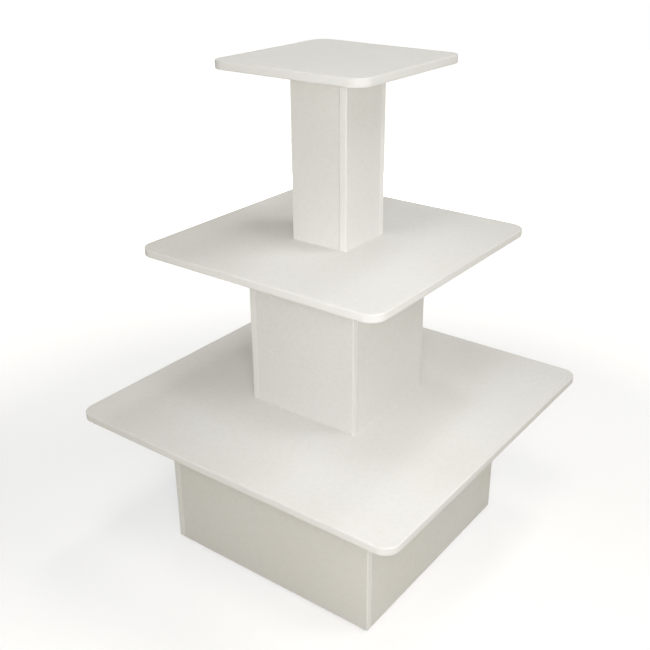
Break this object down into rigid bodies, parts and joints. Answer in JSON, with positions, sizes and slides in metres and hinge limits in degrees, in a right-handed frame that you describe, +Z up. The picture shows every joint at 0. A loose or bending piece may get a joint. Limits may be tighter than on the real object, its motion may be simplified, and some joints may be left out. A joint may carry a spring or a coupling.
{
  "type": "tiered display table",
  "caption": "Free-standing shop display table: square tabletops in tiers, each smaller than the one below, carried on square box pedestals.",
  "frame": {"origin": "on the floor, under the middle of the table", "axes": "+Z up; the table's front faces -Y and its right side faces +X; the edge mouldings' butt joints are at the back"},
  "size_m": [0.914, 0.914, 1.238],
  "materials": {
    "melamine_board": "particle board faced in white melamine, satin with a fine even texture",
    "edge_moulding": "white PVC T-moulding, smooth satin",
    "edge_band": "white PVC edge band, smooth satin",
    "block_softwood": "planed softwood, unfinished",
    "tongue_plywood": "thin birch plywood, unfinished",
    "screw_steel": "zinc-plated steel",
    "glide_steel": "nickel-plated steel"
  },
  "bodies": {
    "root": {"base_back_edge_band": "edge_band", "base_back_panel": "melamine_board", "base_front_edge_band": "edge_band", "base_front_panel": "melamine_board", "base_glides": "glide_steel", "base_head_block_back_left": "block_softwood", "base_head_block_back_right": "block_softwood", "base_head_block_front_left": "block_softwood", "base_head_block_front_right": "block_softwood", "base_head_screws": "screw_steel", "base_left_edge_band": "edge_band", "base_left_panel": "melamine_board", "base_right_edge_band": "edge_band", "base_right_panel": "melamine_board", "base_tongues": "tongue_plywood", "column_back_edge_band": "edge_band", "column_back_panel": "melamine_board", "column_foot_block_back_left": "block_softwood", "column_foot_block_front_right": "block_softwood", "column_foot_screws": "screw_steel", "column_front_edge_band": "edge_band", "column_front_panel": "melamine_board", "column_head_block_back_left": "block_softwood", "column_head_block_front_right": "block_softwood", "column_head_screws": "screw_steel", "column_left_edge_band": "edge_band", "column_left_panel": "melamine_board", "column_right_edge_band": "edge_band", "column_right_panel": "melamine_board", "column_tongues": "tongue_plywood", "lower_edge_moulding": "edge_moulding", "lower_tabletop": "melamine_board", "middle_edge_moulding": "edge_moulding", "middle_tabletop": "melamine_board", "pedestal_back_edge_band": "edge_band", "pedestal_back_panel": "melamine_board", "pedestal_foot_block_back_left": "block_softwood", "pedestal_foot_block_back_right": "block_softwood", "pedestal_foot_block_front_left": "block_softwood", "pedestal_foot_block_front_right": "block_softwood", "pedestal_foot_screws": "screw_steel", "pedestal_front_edge_band": "edge_band", "pedestal_front_panel": "melamine_board", "pedestal_head_block_back_left": "block_softwood", "pedestal_head_block_back_right": "block_softwood", "pedestal_head_block_front_left": "block_softwood", "pedestal_head_block_front_right": "block_softwood", "pedestal_head_screws": "screw_steel", "pedestal_left_edge_band": "edge_band", "pedestal_left_panel": "melamine_board", "pedestal_right_edge_band": "edge_band", "pedestal_right_panel": "melamine_board", "pedestal_tongues": "tongue_plywood", "upper_edge_moulding": "edge_moulding", "upper_tabletop": "melamine_board"}
  },
  "joints": []
}
